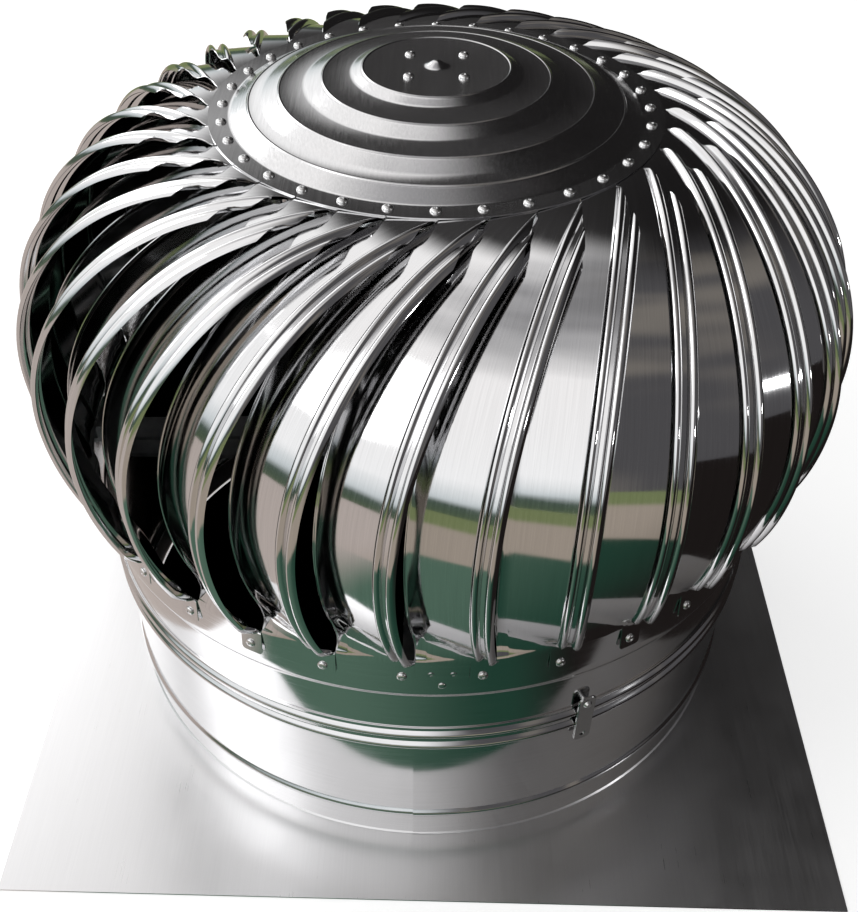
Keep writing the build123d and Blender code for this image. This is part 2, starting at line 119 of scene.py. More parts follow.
# lengths in mm
vaneLook = {
    "dark": "#C9C9CA", "light": "#E3E3E4", "roughness": (0.035, 0.09), "grainWidth": 0.9, "grainLength": 60,
    "grainAlong": "v", "grainDepth": 0.004, "waveSize": 90, "waveDepth": 0.6, "smudgeSize": 40,
    "smudge": 0.05,
}
neckLook = dict(vaneLook, waveSize=120, waveDepth=0.5, grainAlong="u", roughness=(0.05, 0.12))
bandLook = dict(neckLook, waveSize=60, waveDepth=0.1)
crownLook = dict(vaneLook, roughness=(0.12, 0.18), waveSize=80, waveDepth=0.2, grainDepth=0.003)
plateLook = dict(vaneLook, dark="#D6D6D7", light="#DFDFE0", roughness=(0.27, 0.33), waveSize=220,
                 waveDepth=0.8, grainDepth=0.001)

polishedVane = stainlessSheet("polishedStainlessStrip", vaneLook)
rolledNeck = stainlessSheet("rolledStainlessNeck", neckLook)
rolledBand = stainlessSheet("rolledStainlessBand", bandLook)
pressedCrown = stainlessSheet("pressedStainlessCrown", crownLook, "object")
satinPlate = stainlessSheet("satinStainlessPlate", plateLook, "object")


# plain machined or plated parts: one builder, since they differ only in numbers
def machinedPart(name, look):
    made, tree = newMaterial(name)
    where = addNode(tree, "ShaderNodeTexCoord").outputs["Object"]
    cloud = addNode(tree, "ShaderNodeTexNoise", Vector=where, Scale=1 / (look["grain"] * mm), Detail=4.0)
    tint = addNode(tree, "ShaderNodeMix", {"data_type": "RGBA"}, Factor=cloud.outputs["Fac"])
    tint.inputs[6].default_value = linearFromHex(look["dark"])
    tint.inputs[7].default_value = linearFromHex(look["light"])
    low, high = look["roughness"]
    rough = addNode(tree, "ShaderNodeMapRange", Value=cloud.outputs["Fac"], From_Min=0.3, From_Max=0.7,
                    To_Min=low, To_Max=high)
    bump = addNode(tree, "ShaderNodeBump", Height=cloud.outputs["Fac"], Strength=1.0,
                   Distance=look["depth"] * mm)
    shader = addNode(tree, "ShaderNodeBsdfPrincipled", Base_Color=tint.outputs[2], Metallic=look["metal"],
                     Roughness=rough.outputs[0], Normal=bump.outputs[0])
    addNode(tree, "ShaderNodeOutputMaterial", Surface=shader.outputs[0])
    return made


machinedLooks = {
    "aluminiumRivet": {"dark": "#CFCFCF", "light": "#E4E4E4", "roughness": (0.22, 0.34), "grain": 1.5,
                       "depth": 0.01, "metal": 1.0},
    "zincPlatedBar": {"dark": "#8F9296", "light": "#B4B6B8", "roughness": (0.3, 0.45), "grain": 6,
                      "depth": 0.02, "metal": 1.0},
    "groundShaft": {"dark": "#A5A5A5", "light": "#C4C4C4", "roughness": (0.15, 0.25), "grain": 2,
                    "depth": 0.004, "metal": 1.0},
    "bearingSteel": {"dark": "#B0B0B2", "light": "#CFCFD2", "roughness": (0.08, 0.14), "grain": 2,
                     "depth": 0.002, "metal": 1.0},
    "turnedAluminium": {"dark": "#9A9B9C", "light": "#BFC0C1", "roughness": (0.25, 0.4), "grain": 3,
                        "depth": 0.01, "metal": 1.0},
    "nitrileSeal": {"dark": "#121212", "light": "#1E1E1E", "roughness": (0.5, 0.65), "grain": 1,
                    "depth": 0.01, "metal": 0.0},
    "mouldedPolyamide": {"dark": "#8B8069", "light": "#9C9179", "roughness": (0.4, 0.5), "grain": 2,
                         "depth": 0.01, "metal": 0.0},
}
machined = {name: machinedPart(name, look) for name, look in machinedLooks.items()}
print("materials made:", len(bpy.data.materials))


# ---------- vanes ----------
# lengths in mm and turns in degrees, in the plane that a vane's double bead lies in; bends are the three
# tangent radii of its side view, each with the turn that it ends at or takes
vane = {
    "count": 32, "sets": 4, "firstAngle": -120.55, "pitch": 11.25, "wander": 0.25, "gauge": 0.6,
    "offset": 122.3, "innerEdge": 46.0, "flare": 1.35, "flareWidth": 8.0, "hem": 0.75,
    "ridge": 3.4, "ridgeHalf": 3.2, "grooveHalf": 1.0,
    "reach": 252.5, "bellyHeight": 297.0, "bends": ((175.0, 32.0), (125.0, 37.0), (172.0, 53.0)),
    "rowStep": 4.0, "flatRows": 24, "flatEnd": 41.3, "cutRows": (129.1, 113.8, 97.9),
    "tabEnd": 124.0, "rivetCircle": 132.8, "rivetOffset": 15.3, "fanRadius": 150.0, "tabMargin": 1.65,
    "tabGap": 0.2, "cornerStart": 91.0, "cornerEnd": 128.0, "cornerInset": 5.3,
    "skirtTop": 246.0, "skirtBottom": 208.6, "skirtFirst": 18.05, "ridgeFlat": 224.0,
    "skirtRows": (243, 240, 237, 234, 231, 227.5, 224, 221.5, 219, 217, 215, 213),
    "footRows": (208, 204, 200, 196, 193, 192.5, 191.6, 190.8, 190.25),
    "footRadius": 257.15, "footHalf": 7.5, "footOffset": 4.0, "footBottom": 190.0, "footCorner": 2.5,
    "footLean": 1.7, "ringOuter": 256.5, "ringTop": 211.0, "ringGap": 0.2,
}
# the turns from a vane's plane to its rivet under the crown and to its rivet on the ring
tabAngle = math.degrees(math.asin((vane["offset"] - vane["rivetOffset"]) / vane["rivetCircle"]))
footAngle = math.degrees(math.asin((vane["offset"] - vane["footOffset"]) / vane["ringOuter"]))
lowSide = math.tan(math.radians(tabAngle + vane["tabMargin"] - vane["pitch"] + vane["tabGap"]))
highSide = math.tan(math.radians(tabAngle + vane["tabMargin"]))
outerEdge = vane["grooveHalf"] + 2 * vane["ridgeHalf"]
panelGap = 3.3   # from the double bead to where the plain panel starts


def turnedPoint(x, y, degrees):
    c, s = math.cos(math.radians(degrees)), math.sin(math.radians(degrees))
    return x * c - y * s, x * s + y * c


def vaneRows():
    # the side view of a vane as (reach, height, tilt of its outward normal, length so far), foot first
    (r0, a0), (r1, a1), (r2, a2) = [(r, math.radians(a)) for r, a in vane["bends"]]
    x0, cz = vane["reach"] - r0, vane["bellyHeight"]
    lowTurn = math.asin((vane["skirtTop"] - cz) / r0)
    rows, length = [], 0.0
    x1 = vane["reach"] - r1
    x2, z2 = x1 + (r1 - r2) * math.cos(a1), cz + (r1 - r2) * math.sin(a1)
    for cx, middle, radius, first, last in ((x0, cz, r0, lowTurn, 0.0), (x1, cz, r1, 0.0, a1),
                                            (x2, z2, r2, a1, math.pi / 2)):
        count = max(4, round(radius * (last - first) / vane["rowStep"]))
        for i in range(count):
            turn = first + (last - first) * i / count
            rows.append((cx + radius * math.cos(turn), middle + radius * math.sin(turn), turn, length))
            length += radius * (last - first) / count
    # the flat under the crown, with a row wherever the cut changes direction
    stops = {x2, *vane["cutRows"], vane["cornerEnd"], vane["cornerStart"], vane["flatEnd"]}
    stops |= {x2 + (vane["flatEnd"] - x2) * i / vane["flatRows"] for i in range(1, vane["flatRows"])}
    for reach in sorted((x for x in stops if x <= x2), reverse=True):
        rows.append((reach, z2 + r2, math.pi / 2, length + x2 - reach))
    return rows


def vaneSection():
    # (distance across, height) from the hemmed, softly flared inner edge to the double bead's outer edge
    edge, hem, flare, width = -vane["innerEdge"], vane["hem"], vane["flare"], vane["flareWidth"]
    points = [(edge, flare - 0.35), (edge + 0.05, flare + 0.15), (edge + hem * 0.6, flare + 0.3),
              (edge + hem * 1.2, flare + 0.1), (edge + hem * 1.5, flare - 0.35)]
    for i in range(9):
        away = hem * 2 + (width - hem * 2) * i / 8
        points.append((edge + away, (flare - 0.55) * (1 - away / width) ** 2 / (1 - hem * 2 / width) ** 2))
    points += [(-22.0, 0.0), (-outerEdge - panelGap, 0.0), (-outerEdge - 0.5, 0.0)]
    for middle in (-vane["grooveHalf"] - vane["ridgeHalf"], vane["grooveHalf"] + vane["ridgeHalf"]):
        for i in range(9):
            turn = i / 8
            points.append((middle + vane["ridgeHalf"] * (2 * turn - 1),
                           vane["ridge"] * math.sin(math.pi * turn) ** 0.8))
    return points


def riseAt(section, across):
    for (a, low), (b, high) in zip(section, section[1:]):
        if a <= across <= b:
            return low + (high - low) * (across - a) / max(b - a, 1e-9)
    return 0.0


def vaneLimits(reach):
    # how far a vane reaches sideways there: it keeps to its own share under the crown, and its beaded
    # corner is cut off on a slant, which leaves that room to the vane beside it
    slope = (outerEdge + vane["cornerInset"]) / (vane["cornerEnd"] - vane["cornerStart"])
    corner = vane["offset"] - vane["cornerInset"] + slope * (reach - vane["cornerStart"])
    lowest, highest = vane["offset"] - vane["innerEdge"], min(vane["offset"] + outerEdge, corner)
    if reach < vane["fanRadius"]:
        turn = vane["tabGap"] - vane["pitch"]
        x, y = turnedPoint(vane["cornerStart"], vane["offset"] - vane["cornerInset"], turn)
        beside = y + math.tan(math.atan(slope) + math.radians(turn)) * (reach - x)
        lowest = max(lowest, min(reach * lowSide, beside, math.sqrt(vane["fanRadius"] ** 2 - reach ** 2)))
    if math.hypot(reach, highest) < vane["fanRadius"]:
        highest = min(highest, reach * highSide)
    if reach < vane["tabEnd"]:
        lowest = max(lowest, math.sqrt(vane["tabEnd"] ** 2 - reach ** 2))
    return lowest, highest


def vaneMesh():
    section, shape = vaneSection(), bmesh.new()
    uvLayer = shape.loops.layers.uv.new("sheet")
    grid = []

    def patch(rows):
        for below, above in zip(rows, rows[1:]):
            for i in range(len(below) - 1):
                corners = [below[i], below[i + 1], above[i + 1], above[i]]
                if len({c[0] for c in corners}) < 3:
                    continue
                face = shape.faces.new([c[0] for c in corners])
                for loop, corner in zip(face.loops, corners):
                    loop[uvLayer].uv = corner[1]

    for reach, height, turn, length in vaneRows():
        lowest, highest = vaneLimits(reach)
        if highest - lowest < 0.3:
            continue
        row = []
        for across, rise in section:
            kept = min(max(vane["offset"] + across, lowest), highest)
            if kept != vane["offset"] + across:      # on the cut the bead keeps the height it has there
                rise = riseAt(section, kept - vane["offset"])
            place = Vector((reach + rise * math.cos(turn), kept, height + rise * math.sin(turn))) * mm
            row.append((shape.verts.new(place), (kept * mm, length * mm)))
        grid.append(row)
    patch(grid)

    # below: the panel's skirt bends out to the ring, the first ridge runs into the foot that lies on the
    # ring, and the second ridge ends in a slanting cut
    r0 = vane["bends"][0][0]
    corner, panelWidth = vane["footCorner"], vane["innerEdge"] - outerEdge - panelGap
    footSplit = next(i for i, p in enumerate(section) if p[0] > -outerEdge - panelGap - 0.1)
    grooveEnd = next(i for i, p in enumerate(section) if p[0] > vane["grooveHalf"] - 0.01)
    footTurn = math.degrees(vane["footHalf"] / vane["footRadius"])

    def below(columns, heights, sideways, fading=True, cut=None, lean=0.0):
        rows = [[grid[0][i] for i in columns]]
        for z in heights:
            turn = math.asin((z - vane["bellyHeight"]) / r0)
            reach = vane["reach"] - r0 + r0 * math.cos(turn)
            row = []
            for i in columns:
                across, rise = section[i]
                if cut and across > cut(z):
                    across = cut(z)
                    rise = riseAt(section, across)
                inward = min(1.0, max(0.0, (-outerEdge - panelGap - across) / panelWidth))
                start = vane["ridgeFlat"] + (vane["skirtTop"] - vane["ridgeFlat"]) * inward ** 0.7
                bent = min(1.0, max(0.0, (start - z) / (start - vane["ringTop"] - vane["ringGap"]))) ** 1.7
                rise *= 1 - bent if fading else 1
                swept = Vector((reach + rise * math.cos(turn), vane["offset"] + across, z))
                side = math.radians(sideways(across, z))
                drop = max(0.0, vane["ringTop"] - z) / (vane["ringTop"] - vane["footBottom"])
                out = vane["footRadius"] + lean * drop
                onRing = Vector((out * math.cos(side), out * math.sin(side), z))
                place = swept.lerp(onRing, bent)
                place.z = z + rise * math.sin(turn) * (1 - bent)
                row.append((shape.verts.new(place * mm), (place.y * mm, (z - vane["skirtTop"]) * mm)))
            rows.append(row)
        patch(rows[::-1])

    def skirtSide(across, z):
        share = (across + vane["innerEdge"]) / panelWidth
        return vane["skirtFirst"] + (footAngle - footTurn - vane["skirtFirst"]) * share

    def footSide(across, z):
        start, end = section[footSplit][0], section[grooveEnd][0]
        narrow, above = 1.0, z - vane["footBottom"]
        if above < corner:
            kept = math.sqrt(max(0.0, corner ** 2 - (corner - above) ** 2))
            narrow = 1 - (corner - kept) / vane["footHalf"]
        return footAngle + footTurn * narrow * (2 * (across - start) / (end - start) - 1)

    def freeSide(across, z):
        return footAngle + footTurn + math.degrees((across - vane["grooveHalf"]) / vane["footRadius"])

    def slant(z):
        return vane["grooveHalf"] + 2 * vane["ridgeHalf"] * min(1.0, max(0.12, (z - vane["ringTop"]) / 8))

    down = [*vane["skirtRows"], vane["ringTop"] + vane["ringGap"]]
    below(range(footSplit + 1), down + [vane["skirtBottom"]], skirtSide)
    below(range(footSplit, grooveEnd + 1), down + [*vane["footRows"], vane["footBottom"]], footSide,
          lean=vane["footLean"])
    below(range(grooveEnd, len(section)), down, freeSide, fading=False, cut=slant)

    bmesh.ops.remove_doubles(shape, verts=shape.verts, dist=0.00002)
    bmesh.ops.dissolve_degenerate(shape, dist=0.00001, edges=shape.edges)
    bmesh.ops.delete(shape, geom=[v for v in shape.verts if not v.link_faces], context="VERTS")
    bmesh.ops.recalc_face_normals(shape, faces=shape.faces)
    outward = sum(f.normal.dot(f.calc_center_median().normalized()) * f.calc_area() for f in shape.faces)
    if outward < 0:
        bmesh.ops.reverse_faces(shape, faces=shape.faces)
    mesh = bpy.data.meshes.new("vaneSheet")
    shape.to_mesh(mesh)
    shape.free()
    return mesh


def thickened(mesh, gauge):
    # a sheet's thickness goes inwards from its outside face
    holder = bpy.data.objects.new(mesh.name, mesh)
    bpy.context.scene.collection.objects.link(holder)
    solid = holder.modifiers.new("gauge", "SOLIDIFY")
    solid.thickness, solid.offset, solid.use_rim = gauge * mm, -1.0, True
    made = bpy.data.meshes.new_from_object(holder.evaluated_get(bpy.context.evaluated_depsgraph_get()))
    bpy.data.objects.remove(holder)
    return made


# ---------- what repeats round the axis: one node tree for vanes and rivets ----------
def polarTree():
    tree = bpy.data.node_groups.new("aroundTheAxis", "GeometryNodeTree")
    face = tree.interface
    face.new_socket("Geometry", in_out="INPUT", socket_type="NodeSocketGeometry")
    for name, kind, value in (("Count", "Int", 32), ("Radius", "Float", 0.0), ("Height", "Float", 0.0),
                              ("First Angle", "Float", 0.0), ("Lean", "Float", 0.0),
                              ("Wander", "Float", 0.0), ("Seed", "Int", 7)):
        face.new_socket(name, in_out="INPUT", socket_type="NodeSocket" + kind).default_value = value
    face.new_socket("Material", in_out="INPUT", socket_type="NodeSocketMaterial")
    face.new_socket("Geometry", in_out="OUTPUT", socket_type="NodeSocketGeometry")
    given = addNode(tree, "NodeGroupInput").outputs
    index = addNode(tree, "GeometryNodeInputIndex").outputs[0]
    step = addNode(tree, "ShaderNodeMath", {"operation": "DIVIDE"}, i0=math.tau, i1=given["Count"])
    turned = addNode(tree, "ShaderNodeMath", {"operation": "MULTIPLY"}, i0=index, i1=step.outputs[0])
    placed = addNode(tree, "ShaderNodeMath", {"operation": "ADD"}, i0=turned.outputs[0],
                     i1=given["First Angle"])
    least = addNode(tree, "ShaderNodeMath", {"operation": "MULTIPLY"}, i0=given["Wander"], i1=-1.0)
    drift = addNode(tree, "FunctionNodeRandomValue", {"data_type": "FLOAT"}, Seed=given["Seed"])
    tree.links.new(least.outputs[0], drift.inputs[2])
    tree.links.new(given["Wander"], drift.inputs[3])
    angle = addNode(tree, "ShaderNodeMath", {"operation": "ADD"}, i0=placed.outputs[0], i1=drift.outputs[1])
    cosine = addNode(tree, "ShaderNodeMath", {"operation": "COSINE"}, i0=angle.outputs[0])
    sine = addNode(tree, "ShaderNodeMath", {"operation": "SINE"}, i0=angle.outputs[0])
    x = addNode(tree, "ShaderNodeMath", {"operation": "MULTIPLY"}, i0=cosine.outputs[0], i1=given["Radius"])
    y = addNode(tree, "ShaderNodeMath", {"operation": "MULTIPLY"}, i0=sine.outputs[0], i1=given["Radius"])
    place = addNode(tree, "ShaderNodeCombineXYZ", X=x.outputs[0], Y=y.outputs[0], Z=given["Height"])
    turn = addNode(tree, "ShaderNodeCombineXYZ", Y=given["Lean"], Z=angle.outputs[0])
    points = addNode(tree, "GeometryNodePoints", Count=given["Count"], Position=place.outputs[0])
    copies = addNode(tree, "GeometryNodeInstanceOnPoints", Points=points.outputs[0],
                     Instance=given["Geometry"], Rotation=turn.outputs[0])
    real = addNode(tree, "GeometryNodeRealizeInstances", Geometry=copies.outputs[0])
    dressed = addNode(tree, "GeometryNodeSetMaterial", Geometry=real.outputs[0], Material=given["Material"])
    out = addNode(tree, "NodeGroupOutput")
    tree.links.new(dressed.outputs[0], out.inputs[0])
    return tree


aroundTheAxis = polarTree()


def repeatAround(mesh, material, **inputs):
    # runs the tree on one piece and gives back the plain mesh of them all
    holder = bpy.data.objects.new(mesh.name, mesh)
    bpy.context.scene.collection.objects.link(holder)
    modifier = holder.modifiers.new("around", "NODES")
    modifier.node_group = aroundTheAxis
    identifiers = {s.name: s.identifier for s in aroundTheAxis.interface.items_tree if s.in_out == "INPUT"}
    for key, value in inputs.items():
        modifier[identifiers[key.replace("_", " ")]] = value
    modifier[identifiers["Material"]] = material
    made = bpy.data.meshes.new_from_object(holder.evaluated_get(bpy.context.evaluated_depsgraph_get()))
    bpy.data.objects.remove(holder)
    return made


# the vanes go round in a few sets, each of every fourth vane, which keeps each mesh small
oneVane = thickened(vaneMesh(), vane["gauge"])
for first in range(vane["sets"]):
    vaneSet = repeatAround(oneVane, polishedVane, Count=vane["count"] // vane["sets"], Seed=7 + first,
                           Wander=math.radians(vane["wander"]),
                           First_Angle=math.radians(vane["firstAngle"] + first * vane["pitch"]))
    smoothByAngle(vaneSet, 35)
    placeMesh(f"vaneSet{first + 1}", vaneSet, "rotor",
              [f"blade_{i + 1:02d}" for i in range(first, vane["count"], vane["sets"])])
    print("vane set", first + 1, "faces:", len(vaneSet.polygons))


# ---------- turned sheet pieces ----------
def lathe(name, outline, steps=240, angles=None, shift=None):
    # turns a closed (radius, height) outline about the axis; u runs round and v up the sheet, in metres
    shape = bmesh.new()
    uvLayer = shape.loops.layers.uv.new("sheet")
    turns = angles or [math.tau * i / steps for i in range(steps)]
    lengths = [0.0]
    for (r0, z0), (r1, z1) in zip(outline, outline[1:] + outline[:1]):
        lengths.append(lengths[-1] + math.hypot(r1 - r0, z1 - z0))
    middle = sum(r for r, z in outline) / len(outline)
    rings = []
    for turn in turns:
        ring = []
        for r, z in outline:
            grown = r + (shift(turn, r, z) if shift else 0.0)
            ring.append(shape.verts.new(Vector((grown * math.cos(turn), grown * math.sin(turn), z)) * mm))
        rings.append(ring)
    count = len(outline)
    for k, ring in enumerate(rings):
        after = rings[(k + 1) % len(rings)]
        start = turns[k]
        end = turns[k + 1] if k + 1 < len(turns) else turns[0] + math.tau
        for i in range(count):
            j = (i + 1) % count
            corners = [ring[i], after[i], after[j], ring[j]]
            spots = [(start, lengths[i]), (end, lengths[i]), (end, lengths[i + 1]), (start, lengths[i + 1])]
            face = shape.faces.new(corners)
            for loop, (turn, length) in zip(face.loops, spots):
                loop[uvLayer].uv = (turn * middle * mm, length * mm)
    bmesh.ops.remove_doubles(shape, verts=shape.verts, dist=0.000005)
    bmesh.ops.recalc_face_normals(shape, faces=shape.faces)
    mesh = bpy.data.meshes.new(name)
    shape.to_mesh(mesh)
    shape.free()
    smoothByAngle(mesh, 32)
    return mesh


def beadPoints(radius, middle, width, height, count=10):
    # a rolled bead: a half wave pressed out of an upright sheet
    return [(radius + height * math.sin(math.pi * i / count) ** 1.2, middle + width * (i / count - 0.5))
            for i in range(count + 1)]


def sheetOutline(outside, gauge):
    # closes an open outside line with the inside line one gauge behind it
    inside = []
    for k, (r, z) in enumerate(outside):
        before, after = outside[max(k - 1, 0)], outside[min(k + 1, len(outside) - 1)]
        dr, dz = after[0] - before[0], after[1] - before[1]
        size = math.hypot(dr, dz)
        inside.append((r - gauge * dz / size, z + gauge * dr / size))
    return outside + inside[::-1]


neck = {
    "radius": 252.1, "gauge": 0.8, "bottom": 3.0, "joint": 123.0, "top": 186.0, "beadAt": 30.0,
    "beadHeight": 2.4, "beadWidth": 9.0, "seamAngle": -91.5, "seamStep": 0.7, "seamSpread": 9.0,
}


def lapSeam(turn, r, z):
    # the sheet's end stands nearly one gauge proud at the seam and runs out within 40 mm
    away = (math.degrees(turn) - neck["seamAngle"] + 180) % 360 - 180
    return neck["seamStep"] * (1 - away / neck["seamSpread"]) ** 2 if 0 <= away < neck["seamSpread"] else 0.0


seamTurn = math.radians(neck["seamAngle"])
seamTurns = [seamTurn + math.radians(a) for a in
             [-0.02, 0.0, 0.4, 0.8, 1.4, 2, 3, 4, 5, 6, 7, 8, 9] + [10.5 + 1.5 * i for i in range(233)]]
lowerOutside = ([(neck["radius"], neck["bottom"]), (neck["radius"], 14.0)]
                + beadPoints(neck["radius"], neck["beadAt"], neck["beadWidth"], neck["beadHeight"])
                + [(neck["radius"], z) for z in (50, 75, 100)] + [(neck["radius"], neck["joint"] - 0.1)])
lowerMesh = lathe("lowerNeck", sheetOutline(lowerOutside, neck["gauge"]), angles=seamTurns, shift=lapSeam)
lowerMesh.materials.append(rolledNeck)
placeMesh("lowerNeck", lowerMesh, "base", ["lower_neck"])
upperOutside = [(neck["radius"], z) for z in (neck["joint"], 140, 160, 175, neck["top"])]
upperMesh = lathe("upperNeck", sheetOutline(upperOutside, neck["gauge"]))
upperMesh.materials.append(rolledNeck)
placeMesh("upperNeck", upperMesh, "base", ["upper_neck"])

band = {"inner": 252.2, "gauge": 0.8, "width": 26.0, "pitch": 12.0, "ridge": 2.6, "ridgeWidth": 8.5,
        "splitAngle": -64.5, "splitGap": 2.4, "middle": 123.0}


def bandMesh():
    radius = band["inner"] + band["gauge"]
    bottom, top = band["middle"] - band["width"] / 2, band["middle"] + band["width"] / 2
    outside = ([(radius, bottom), (radius, bottom + 1.5)]
               + beadPoints(radius, band["middle"] - band["pitch"] / 2, band["ridgeWidth"], band["ridge"])
               + beadPoints(radius, band["middle"] + band["pitch"] / 2, band["ridgeWidth"], band["ridge"])
               + [(radius, top - 1.5), (radius, top)])
    half = band["splitGap"] / 2 / band["inner"]
    split = math.radians(band["splitAngle"])
    steps = 240
    turns = [split + half + (math.tau - 2 * half) * i / steps for i in range(steps + 1)]
    mesh = lathe("jointBand", sheetOutline(outside, band["gauge"]), angles=turns)
    shape = bmesh.new()
    shape.from_mesh(mesh)
    gap = [f for f in shape.faces
           if abs(math.atan2(*reversed(f.calc_center_median().xy)) - split) < half * 0.9]
    bmesh.ops.delete(shape, geom=gap, context="FACES")
    bmesh.ops.holes_fill(shape, edges=[e for e in shape.edges if e.is_boundary])
    bmesh.ops.recalc_face_normals(shape, faces=shape.faces)
    shape.to_mesh(mesh)
    shape.free()
    smoothByAngle(mesh, 32)
    return mesh


bandSheet = bandMesh()
bandSheet.materials.append(rolledBand)
placeMesh("jointBand", bandSheet, "base", ["joint_band"])
print("neck and band made")

# ---------- turning ring ----------
turnRing = {"outer": 256.5, "gauge": 0.8, "bottom": 171.4, "top": 211.0, "lip": 1.9, "lipHeight": 7.0}
ringOutside = [(turnRing["outer"] - turnRing["lip"], turnRing["bottom"]),
               (turnRing["outer"] - turnRing["lip"], turnRing["bottom"] + 1.5)]
for i in range(9):
    share = i / 8
    ringOutside.append((turnRing["outer"] - turnRing["lip"] * (1 + math.cos(math.pi * share)) / 2,
                        turnRing["bottom"] + 1.5 + (turnRing["lipHeight"] - 1.5) * share))
ringOutside += [(turnRing["outer"], z) for z in (184, 190, 198, 205, turnRing["top"])]
ringMesh = lathe("turningRing", sheetOutline(ringOutside, turnRing["gauge"]))
ringMesh.materials.append(rolledNeck)
placeMesh("turningRing", ringMesh, "rotor", ["rotor_ring"])

# ---------- crown ----------
# each step is its foot's and its edge's radius and its rise, from the rim in
crown = {
    "gauge": 0.8, "under": 440.76, "rim": 140.7, "tread": 2.33,
    "steps": ((127.5, 117.0, 5.6), (108.0, 97.5, 4.4), (81.0, 70.5, 4.0), (52.0, 46.0, 3.0)),
    "domeRadius": 9.0, "domeHeight": 3.5, "soften": 1.4, "edgeLine": 0.45, "edgeWidth": 2.2,
}


def crownCorners():
    corners, height = [(crown["rim"], crown["under"])], crown["under"]
    for foot, edge, rise in crown["steps"]:
        corners += [(foot, height), (edge, height + rise)]
        height += rise + crown["tread"]
    height -= crown["tread"]
    return corners + [(crown["domeRadius"] + 5, height), (0.0, height)], height


def rounded(corners, radius, count=5):
    # each inner corner becomes a short curve, as a press leaves it
    points = [corners[0]]
    for before, here, after in zip(corners, corners[1:], corners[2:]):
        one = min(radius, math.dist(before, here) * 0.45)
        two = min(radius, math.dist(here, after) * 0.45)
        a = [here[k] + (before[k] - here[k]) * one / math.dist(before, here) for k in (0, 1)]
        b = [here[k] + (after[k] - here[k]) * two / math.dist(here, after) for k in (0, 1)]
        for i in range(count + 1):
            s = i / count
            points.append(tuple(a[k] * (1 - s) ** 2 + 2 * here[k] * s * (1 - s) + b[k] * s ** 2
                                for k in (0, 1)))
    return points + [corners[-1]]


def crownMesh():
    corners, height = crownCorners()
    over = [(r, z + crown["gauge"]) for r, z in rounded(corners, crown["soften"])]
    bulge = []
    for i in range(9):
        r = crown["domeRadius"] * (1 - i / 8)
        bulge.append((r, height + crown["gauge"]
                      + crown["domeHeight"] * (math.cos(math.pi * r / crown["domeRadius"]) + 1) / 2))
    over = [p for p in over if p[0] > crown["domeRadius"]] + bulge
    under = [(r, min(z - crown["gauge"], height)) for r, z in over]
    # each step's upper edge is pressed up into a fine line
    edges = [edge - crown["edgeWidth"] * 0.45 for _, edge, _ in crown["steps"]]
    extra = [edge + crown["edgeWidth"] * (0.5 - i / 8) for edge in edges for i in range(9)]
    lined = []
    for (r0, z0), (r1, z1) in zip(over, over[1:]):
        lined.append((r0, z0))
        lined += [(r, z0 + (z1 - z0) * (r0 - r) / (r0 - r1)) for r in extra if r1 + 0.02 < r < r0 - 0.02]
    lined.append(over[-1])

    def pressed(r):
        for edge in edges:
            if abs(r - edge) < crown["edgeWidth"] / 2:
                return crown["edgeLine"] * math.cos(math.pi * (r - edge) / crown["edgeWidth"]) ** 2
        return 0.0

    over = [(r, z + pressed(r)) for r, z in lined]
    outline = over[:-1] + [(0.01, over[-1][1])] + [(0.01, under[-1][1])] + under[::-1][1:]
    return lathe("steppedCrown", outline, steps=256)


crownSheet = crownMesh()
crownSheet.materials.append(pressedCrown)
placeMesh("steppedCrown", crownSheet, "rotor", ["crown"])
print("ring and crown made")


# ---------- rivets ----------
rivetShape = {"radius": 3.3, "height": 1.8, "pin": 1.0, "shank": 2.0, "grip": 1.6}


def rivetMesh(size, steps=14):
    # a blind rivet's low dome, with the dimple that the broken-off pin leaves in it
    r, h = size["radius"], size["height"]
    outline = [(0.01, -size["grip"]), (size["shank"], -size["grip"]), (size["shank"], 0.0), (r, 0.0),
               (r, 0.35)]
    for i in range(1, 6):
        turn = math.pi / 2 * i / 6
        outline.append((size["pin"] + (r - size["pin"]) * math.cos(turn),
                        0.35 + (h - 0.35) * math.sin(turn)))
    outline += [(size["pin"], h), (size["pin"] * 0.8, h - 0.5), (0.01, h - 0.45)]
    return lathe("rivet", outline, steps=steps)


headRivet = rivetMesh(rivetShape)
# each row is its node, count, radius, height, first angle and lean
rivetRows = {
    "rimRivets": ("rim_rivets", vane["count"], vane["rivetCircle"], crown["under"] + crown["gauge"],
                  vane["firstAngle"] + tabAngle, 0),
    "centreRivets": ("centre_rivets", 4, 16.5 * math.sqrt(2), crownCorners()[1] + crown["gauge"], 45, 0),
    "footRivets": ("foot_rivets", vane["count"], 258.1, 197.5, vane["firstAngle"] + footAngle, 90),
}
for name, (node, count, radius, height, first, lean) in rivetRows.items():
    row = repeatAround(headRivet, machined["aluminiumRivet"], Count=count, Radius=radius * mm,
                       Height=height * mm, First_Angle=math.radians(first), Lean=math.radians(lean))
    row.name = name
    smoothByAngle(row, 40)
    placeMesh(name, row, "rotor", [node])
print("rivets made")

# ---------- the band's clip, and what is set flush in the turning ring ----------
clip = {"angle": -64.5, "back": 255.68, "middle": 123.0, "height": 46.0, "width": 13.0, "gauge": 1.5,
        "corner": 4.0, "cornerSteps": 8, "bevel": 0.4, "hole": 2.2, "holeAt": 16.5, "holeSteps": 36}


